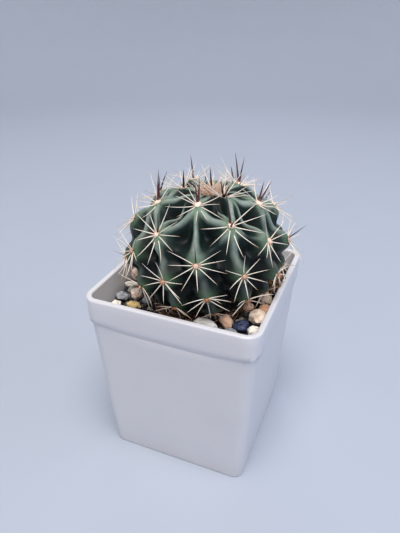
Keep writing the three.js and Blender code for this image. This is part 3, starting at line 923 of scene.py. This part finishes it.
def spineFinish(name, root, middle, tip, old):
    nodes, place = newMaterial(name)
    along, tone, age = (attribute(nodes, label) for label in ("along", "tone", "age"))
    streak = nodes.grain(place, 0.9)
    shade = nodes.coats(
        root,
        (eased(along, 0.0, 0.22), middle),
        (eased(along + (tone - 0.5) * 0.3, 0.8, 1.05), tip),
        (clamped(eased(age, 0.6, 0.95) * (0.2 + tone * 0.6)), old),
        (clamped(streak * 0.3 - 0.08), old),
    )
    return finishMaterial(nodes, shade, 0.42 + streak * 0.2, nodes.grain(place, 0.25, 2), 0.03)


def makeSpines():
    form = {"Sides": 6, "Segments": 7, "Taper": 0.62, "Bow": 0.2, "Seed": 3}
    pale = spineFinish("pale spine", spines["pink"], spines["pale"], spines["tipTone"], spines["brown"])
    growSpines("radial_spines", pale, form, radialPlan())
    maroon = spines["maroon"]
    dark = spineFinish("maroon spine", spines["maroonRoot"], maroon, spines["maroonTip"], maroon)
    growSpines("central_spines", dark, {**form, "Taper": 0.85}, uprightPlan())


makeSpines()


# Felt in the areoles, and wool in the crown

felt = {
    "hairs": 70, "hairLength": 1.1, "hairWidth": 0.11, "youngRadius": 1.25, "oldRadius": 0.78,
    "cream": (250, 230, 216), "rust": (190, 118, 70), "pink": (232, 186, 162),
    "woolHairs": 1000, "woolRadius": 5.4, "woolLength": 3.8, "woolWidth": 0.14, "tan": (186, 142, 106),
}


def feltPlan():
    draw = random.Random(19)
    hairs, pads = [], []
    for index in areoles:
        point, out, side, up = areoleAt(index)
        age = clamped((index - 9) / 14)
        radius = mixed(felt["youngRadius"], felt["oldRadius"], age)
        pads.append((point, out, up, radius, index / plant["last"]))
        for hair in range(felt["hairs"]):
            turn, far = draw.uniform(0, math.tau), math.sqrt(draw.random())
            flat = side * math.cos(turn) + up * math.sin(turn) * 1.15
            root = point + flat * far * radius * 0.9 - out * 0.15
            way = (out * draw.uniform(0.5, 1.1) + flat * far * draw.uniform(0.3, 1.1)).normalized()
            length = felt["hairLength"] * draw.uniform(0.6, 1.2) * mixed(1.15, 0.8, age)
            hairs.append((root, root + way * length, felt["hairWidth"], flat, index / plant["last"]))
    return hairs, pads


def woolPlan():
    draw = random.Random(29)
    centre, plan = crownCentre(), []
    for hair in range(felt["woolHairs"]):
        turn, far = draw.uniform(0, math.tau), draw.random() ** 0.7
        flat = Vector((math.cos(turn), math.sin(turn), 0))
        root = centre + flat * far * felt["woolRadius"] + Vector((0, 0, 1.12 * far * far - 0.2))
        way = Vector((draw.gauss(0, 0.6), draw.gauss(0, 0.6), draw.uniform(0.3, 1.0))).normalized()
        length = felt["woolLength"] * draw.uniform(0.4, 1.1) * (1.1 - 0.5 * far)
        bend = Vector((draw.gauss(0, 1), draw.gauss(0, 1), draw.gauss(0, 0.5))).normalized()
        width = felt["woolWidth"] * draw.uniform(0.7, 1.3)
        plan.append((root, root + way * length, width, bend, draw.random()))
    return plan


def feltFinish(name, fresh, old):
    nodes, place = newMaterial(name)
    clump = nodes.grain(place, 0.6)
    aged = eased(attribute(nodes, "age") + (clump - 0.5) * 0.3, 0.25, 0.7)
    shade = nodes.coats(fresh, (aged, old), (clamped(clump * 0.7 - 0.15), felt["pink"]))
    return finishMaterial(nodes, shade, 0.9, nodes.grain(place, 0.18), 0.08, 0.2)


def makeCushions(pads, material):
    # the pads that the hairs stand on
    ball = bmesh.new()
    bmesh.ops.create_icosphere(ball, subdivisions=3, radius=1)
    shape = [vertex.co.copy() for vertex in ball.verts]
    sides = [tuple(vertex.index for vertex in face.verts) for face in ball.faces]
    ball.free()
    points, faces, ages = [], [], []
    for point, out, up, radius, age in pads:
        turn = Matrix((up.cross(out), up, out)).transposed()
        faces.extend(tuple(corner + len(points) for corner in side) for side in sides)
        for spot in shape:
            rough = 1 + noise.noise(spot * 2.2 + point) * 0.22 + noise.noise(spot * 6 + point) * 0.1
            wide = Vector((spot.x * radius, spot.y * radius * 1.2, spot.z * radius * 0.62)) * rough
            points.append(point - out * 0.1 + turn @ wide)
        ages.extend([age] * len(shape))
    item = pieceFrom("areole_cushions", points, faces, material)
    keepRows(item.data, {"age": ages})
    finishPiece(item, "plant", "cactus")


def makeFelt():
    hairs, pads = feltPlan()
    material = feltFinish("areole felt", felt["cream"], felt["rust"])
    growSpines("areole_felt", material, {"Sides": 3, "Segments": 2, "Taper": 0.5, "Bow": 0.5, "Seed": 5}, hairs)
    makeCushions(pads, material)
    wool = feltFinish("crown wool", felt["cream"], felt["tan"])
    growSpines("crown_wool", wool, {"Sides": 3, "Segments": 4, "Taper": 0.4, "Bow": 0.9, "Seed": 8}, woolPlan())


makeFelt()


# Soil: a full block with a gritty top, and loose grains and gravel that lie on it

soil = {
    "rings": 54, "steps": 216, "gap": 0.3, "footCorner": 1.9, "topCorner": 3.6, "edgeDrop": 0.5, "wallAt": 70,
    "lumps": 0.55, "crumbs": 0.3, "openArea": 3.3e-3, "rough": 0.75, "mottling": 0.9, "looseMottling": 0.08,
    # piece, material, how many, size, detail, seeds of place and tone, roughness
    "loose": (("soil_grains", "soil grain", 5200, 1.0, 1, 4, 9, 0.55),
              ("soil_gravel", "gravel chip", 380, 2.3, 2, 14, 21, 0.35)),
    "tones": ((0, (17, 16, 18)), (0.42, (46, 36, 31)), (0.6, (36, 43, 68)), (0.76, (84, 84, 90)),
              (0.9, (142, 116, 92)), (0.96, (186, 183, 178))),
    "dust": (46, 36, 31),
}


def squareEdge(turn, half, corner):
    # the point of a rounded square that lies at an angle from its centre
    x, y = math.cos(turn), math.sin(turn)
    reach = half / max(abs(x), abs(y))
    point = Vector((x * reach, y * reach))
    inner = half - corner
    if min(abs(point.x), abs(point.y)) > inner:
        centre = Vector((math.copysign(inner, x), math.copysign(inner, y)))
        along = centre.x * x + centre.y * y
        across = max(0, along * along - centre.length_squared + corner * corner)
        point = Vector((x, y)) * (along + math.sqrt(across))
    return point


def soilTop(flat):
    # the height of the gritty surface at a point
    spot = flat.to_3d()
    lump = noise.noise(spot * 0.22) * soil["lumps"] * 1.6 + noise.noise(spot * 0.7) * soil["lumps"]
    crumb = noise.noise(spot * 2.1) * soil["crumbs"] + noise.noise(spot * 4.3) * soil["crumbs"] * 0.6
    return soilLevel(flat.y) + lump + crumb


def soilFinish(name, gloss, mottling):
    nodes, place = newMaterial(name)
    picked = nodes.add("ShaderNodeSeparateColor", {0: nodes.cells(place, 0.7).out("Color")})
    shade = nodes.ramp(clamped(attribute(nodes, "tone") + (picked - 0.5) * mottling), soil["tones"])
    dust = nodes.grain(place, 0.6, 4, 0.7)
    shade = nodes.blend(clamped(dust * 0.3 - 0.05), shade, soil["dust"])
    return finishMaterial(nodes, shade, gloss + dust * 0.3, nodes.grain(place, 0.35, 5, 0.7), 0.3)


def makeSoil():
    steps, rings, gap = soil["steps"], soil["rings"], soil["gap"]
    turns = [step * math.tau / steps for step in range(steps)]
    neckX, neckY = axisAt(stem["neckTop"], plant)
    radius, holeFloor = stem["neckRadius"] + gap, stem["neckFoot"] - gap
    hole = [Vector((neckX, neckY)) + Vector((math.cos(turn), math.sin(turn))) * radius for turn in turns]
    edge = [squareEdge(turn, innerHalf(soil["wallAt"]) - gap, soil["topCorner"]) for turn in turns]
    foot = pot["floor"] + gap
    base = [squareEdge(turn, innerHalf(foot) - gap, soil["footCorner"]) for turn in turns]
    points = [Vector((*flat, foot)) for flat in base]
    points += [Vector((*flat, soilLevel(flat.y) - soil["edgeDrop"])) for flat in edge]
    for ring in range(rings + 1):
        row = [outer.lerp(inner, ring / rings) for outer, inner in zip(edge, hole)]
        points += [Vector((*flat, soilTop(flat))) for flat in row]
    points += [Vector((neckX + math.cos(turn) * radius, neckY + math.sin(turn) * radius, holeFloor))
               for turn in turns]
    material = soilFinish("gritty soil", soil["rough"], soil["mottling"])
    bed = pieceFrom("soil_bed", points, tubeFaces(rings + 4, steps), material)
    onTop = [float(2 * steps <= index < (rings + 3) * steps) for index in range(len(points))]
    tones = [0.25 + 0.2 * noise.noise(point * 0.15) for point in points]
    keepRows(bed.data, {"open": onTop, "tone": tones})
    return bed


def scatterTree(name, material, sizes):
    # rough little lumps strewn over the open soil
    nodes, start, p = newTree(name, sizes)
    forms = []
    for form in range(4):
        lump = nodes.add("GeometryNodeMeshIcoSphere", {"Radius": 0.5, "Subdivisions": p["Detail"]})
        push = nodes.drawn(form + 3, (-0.13, -0.13, -0.13), (0.13, 0.13, 0.13))
        forms.append(moved(nodes, lump, offset=push))
    isOpen = nodes.add("FunctionNodeCompare", {0: named(nodes, "open"), 1: 0.9}, operation="GREATER_THAN")
    spots = nodes.add("GeometryNodeDistributePointsOnFaces", {
        "Mesh": start, "Selection": isOpen, "Density": p["Density"], "Seed": p["Seed"]})
    turn = nodes.drawn(p["Seed"], (0, 0, 0), (6.28, 6.28, 6.28))
    growth = nodes.drawn(p["Seed"])
    size = p["Size"] * mm * (0.5 + growth * growth * 1.1)
    shape = nodes.drawn(p["Seed"], (0.75, 0.6, 0.5), (1.2, 1.0, 0.85))
    raised = moved(nodes, spots, offset=nodes.point(0, 0, size * 0.22))
    return endTree(nodes, spread(nodes, raised, forms, turn, shape * size, p["Seed"], p["Tones"]), material)


def makeGrit():
    bed = makeSoil()
    for name, label, count, size, detail, seed, toneSeed, gloss in soil["loose"]:
        density = count / soil["openArea"]
        sizes = {"Density": density, "Size": size, "Detail": detail, "Seed": seed, "Tones": toneSeed}
        tree = scatterTree(name, soilFinish(label, gloss, soil["looseMottling"]), sizes)
        finishPiece(grown(name, tree, sizes, bed.data), "soil", "potting_soil")
    finishPiece(bed, "soil", "potting_soil")


makeGrit()


# Stones: each CAD stone's form, rounded and roughened

stones = {
    "peach": {"light": (255, 236, 218), "dark": (236, 192, 166), "vein": (196, 128, 100), "rough": 0.75},
    "orange": {"light": (255, 214, 184), "dark": (236, 172, 136), "vein": (184, 104, 74), "rough": 0.7},
    "yellow": {"light": (236, 206, 146), "dark": (194, 154, 92), "vein": (146, 106, 60), "rough": 0.7},
    "white": {"light": (255, 250, 240), "dark": (246, 232, 218), "vein": (212, 194, 176), "rough": 0.6},
    "grey": {"light": (202, 204, 206), "dark": (142, 146, 154), "vein": (92, 96, 104), "rough": 0.55},
    "slate": {"light": (74, 86, 124), "dark": (28, 34, 60), "vein": (108, 114, 136), "rough": 0.28},
}
stoneForm = {"crease": 0.3, "levels": 3, "weld": 0.02}


def stoneFinish(name, look):
    nodes, place = newMaterial(name + " stone")
    cloud = nodes.grain(place, 2.6, 5, 0.65)
    fine = nodes.grain(place, 0.5, 5, 0.7)
    pits = nodes.cells(place, 0.55)
    patch = cloud + (attribute(nodes, "tone") - 0.5) * 0.35
    shade = nodes.coats(
        look["dark"],
        (eased(patch, 0.3, 0.72), look["light"]),
        (eased(fine, 0.6, 0.8) * 0.6, look["vein"]),
        ((1 - eased(pits, 0.05, 0.22)) * 0.35, look["vein"]),
    )
    rough = look["rough"] + (fine - 0.5) * 0.3
    return finishMaterial(nodes, shade, rough, fine + eased(pits, 0.0, 0.25) * 0.5, 0.22)


def roundedMesh(source):
    rough = bmesh.new()
    rough.from_mesh(source)
    bmesh.ops.remove_doubles(rough, verts=rough.verts, dist=stoneForm["weld"] * mm)
    bmesh.ops.recalc_face_normals(rough, faces=rough.faces)
    crease = rough.edges.layers.float.new("crease_edge")
    for edge in rough.edges:
        edge[crease] = stoneForm["crease"]
    mesh = bpy.data.meshes.new("rough")
    rough.to_mesh(mesh)
    rough.free()
    item = addItem("rough", mesh)
    smooth = item.modifiers.new("smooth", "SUBSURF")
    smooth.levels = smooth.render_levels = stoneForm["levels"]
    fine = builtMesh(item)
    bpy.data.objects.remove(item)
    return fine


def stoneMesh(node, seed):
    # the CAD stone's own form, smoothed and chipped, set back to its box
    fine = roundedMesh(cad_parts[node].data)
    offset = Vector((seed * 3.1, seed * 1.7, seed * 0.9))
    shaped = []
    for vertex in fine.vertices:
        point = vertex.co / mm
        chip = noise.noise(point * 0.55 + offset) * 0.34 + noise.noise(point * 1.6 + offset) * 0.13
        chip += abs(noise.noise(point * 0.9 - offset)) * -0.3 + noise.noise(point * 4 + offset) * 0.05
        shaped.append(point + vertex.normal * chip)
    low, high = (Vector(corner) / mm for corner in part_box(node))
    least, most = (Vector([reach(part) for part in zip(*shaped)]) for reach in (min, max))
    placed = [Vector([mixed(low[axis], high[axis], (point[axis] - least[axis]) / (most[axis] - least[axis]))
                      for axis in range(3)]) for point in shaped]
    return placed, [tuple(polygon.vertices) for polygon in fine.polygons]


def makeStones():
    for paint, look in stones.items():
        names = sorted(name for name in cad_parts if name.startswith("stone_" + paint))
        points, faces, tones = [], [], []
        draw = random.Random(len(paint))
        for seed, node in enumerate(names):
            placed, sides = stoneMesh(node, seed + len(paint) * 7)
            faces.extend(tuple(corner + len(points) for corner in side) for side in sides)
            points.extend(placed)
            tones.extend([draw.random()] * len(placed))
        item = pieceFrom("stones_" + paint, points, faces, stoneFinish(paint, look))
        keepRows(item.data, {"tone": tones})
        finishPiece(item, "stone_" + paint, *names)


makeStones()


# Dry fibres and spent spines that lie round the plant's foot

litter = {
    "strands": 210, "width": 0.3, "radius": 15.5, "ringWidth": 6.5, "spread": 1.8, "length": 12, "mound": 5.2,
    "steps": 8, "sides": 4, "straw": (186, 142, 98), "brown": (74, 46, 32), "wallAt": 76, "wallRoom": 0.8,
    "tuftStrands": 60, "tuftSteps": 6, "tuft": (32.4, 4.5, 83.5),
}


def strandPath(draw):
    # one strand, laid round the foot and a little up the plant
    start = draw.uniform(0, math.tau)
    run = litter["length"] * draw.uniform(0.5, 1.3) / litter["radius"] * draw.choice((-1, 1))
    out = draw.random()
    far = litter["radius"] + out * litter["ringWidth"]
    drift = draw.gauss(0, litter["spread"])
    lift = draw.uniform(0.2, 1) * litter["mound"] * (1 - 0.6 * out)
    rise = draw.gauss(0, 0.9)
    centre = axisAt(stem["neckTop"], plant)
    wall = innerHalf(litter["wallAt"]) - litter["wallRoom"]
    path = []
    for step in range(litter["steps"] + 1):
        share = step / litter["steps"]
        turn = start + run * share
        reach = far + drift * share * share + 0.5 * math.sin(share * 7 + start * 3)
        x, y = centre[0] + reach * math.cos(turn), centre[1] + reach * math.sin(turn)
        x, y = max(-wall, min(wall, x)), max(-wall, min(wall, y))
        z = soilLevel(y) + 0.6 + max(0, lift + rise * share + 0.4 * math.sin(share * 9 + start))
        path.append(Vector((x, y, z)))
    return path, litter["width"] * draw.uniform(0.6, 1.4)


def tuftPath(draw):
    # dry straw caught between the plant and the wall
    way = Vector((draw.gauss(0.15, 0.5), draw.gauss(0, 0.8), draw.gauss(0.1, 0.5))).normalized()
    side = Vector((draw.gauss(0, 1), draw.gauss(0, 1), draw.gauss(0, 1))).normalized()
    length = draw.uniform(4, 8)
    start = Vector(litter["tuft"]) + Vector((draw.gauss(0, 1.2), draw.gauss(0, 1.8), draw.gauss(0, 1.1)))
    shares = [step / litter["tuftSteps"] for step in range(litter["tuftSteps"] + 1)]
    path = [start + way * length * (share - 0.5) + side * math.sin(share * math.pi) * length * 0.18
            for share in shares]
    return path, litter["width"] * draw.uniform(0.8, 1.8)


def strandTree(name, material, sizes):
    nodes, start, p = newTree(name, sizes)
    line = nodes.add("GeometryNodeMeshToCurve", {"Mesh": start})
    share = nodes.add("GeometryNodeSplineParameter")
    slim = named(nodes, "width") * (0.35 + 0.65 * sine(share * math.pi))
    line = nodes.add("GeometryNodeSetCurveRadius", {"Curve": line, "Radius": slim})
    line = stored(nodes, line, "along", share)
    circle = nodes.add("GeometryNodeCurvePrimitiveCircle", {"Resolution": p["Sides"], "Radius": 0.5 * mm})
    tube = nodes.add("GeometryNodeCurveToMesh", {
        "Curve": line, "Profile Curve": circle, "Scale": named(nodes, "width"), "Fill Caps": True})
    return endTree(nodes, smoothed(nodes, tube), material)


def litterFinish():
    nodes, place = newMaterial("dry straw")
    streak = nodes.grain(place, 1.1, 4, 0.7)
    patch = attribute(nodes, "tone") + (streak - 0.5) * 0.8
    shade = nodes.blend(eased(patch, 0.15, 0.85), litter["brown"], litter["straw"])
    return finishMaterial(nodes, shade, 0.75, streak, 0.06)


def makeLitter():
    draw = random.Random(53)
    paths = [strandPath(draw) for strand in range(litter["strands"])]
    paths += [tuftPath(draw) for strand in range(litter["tuftStrands"])]
    points, edges, widths, tones = [], [], [], []
    for path, width in paths:
        edges.extend((len(points) + step, len(points) + step + 1) for step in range(len(path) - 1))
        points.extend(point * mm for point in path)
        widths.extend([width] * len(path))
        tones.extend([draw.random()] * len(path))
    mesh = bpy.data.meshes.new("litter")
    mesh.from_pydata(points, edges, [])
    keepRows(mesh, {"width": widths, "tone": tones})
    sizes = {"Sides": litter["sides"]}
    item = grown("dry_litter", strandTree("strands", litterFinish(), sizes), sizes, mesh)
    finishPiece(item, "plant", "cactus")


makeLitter()
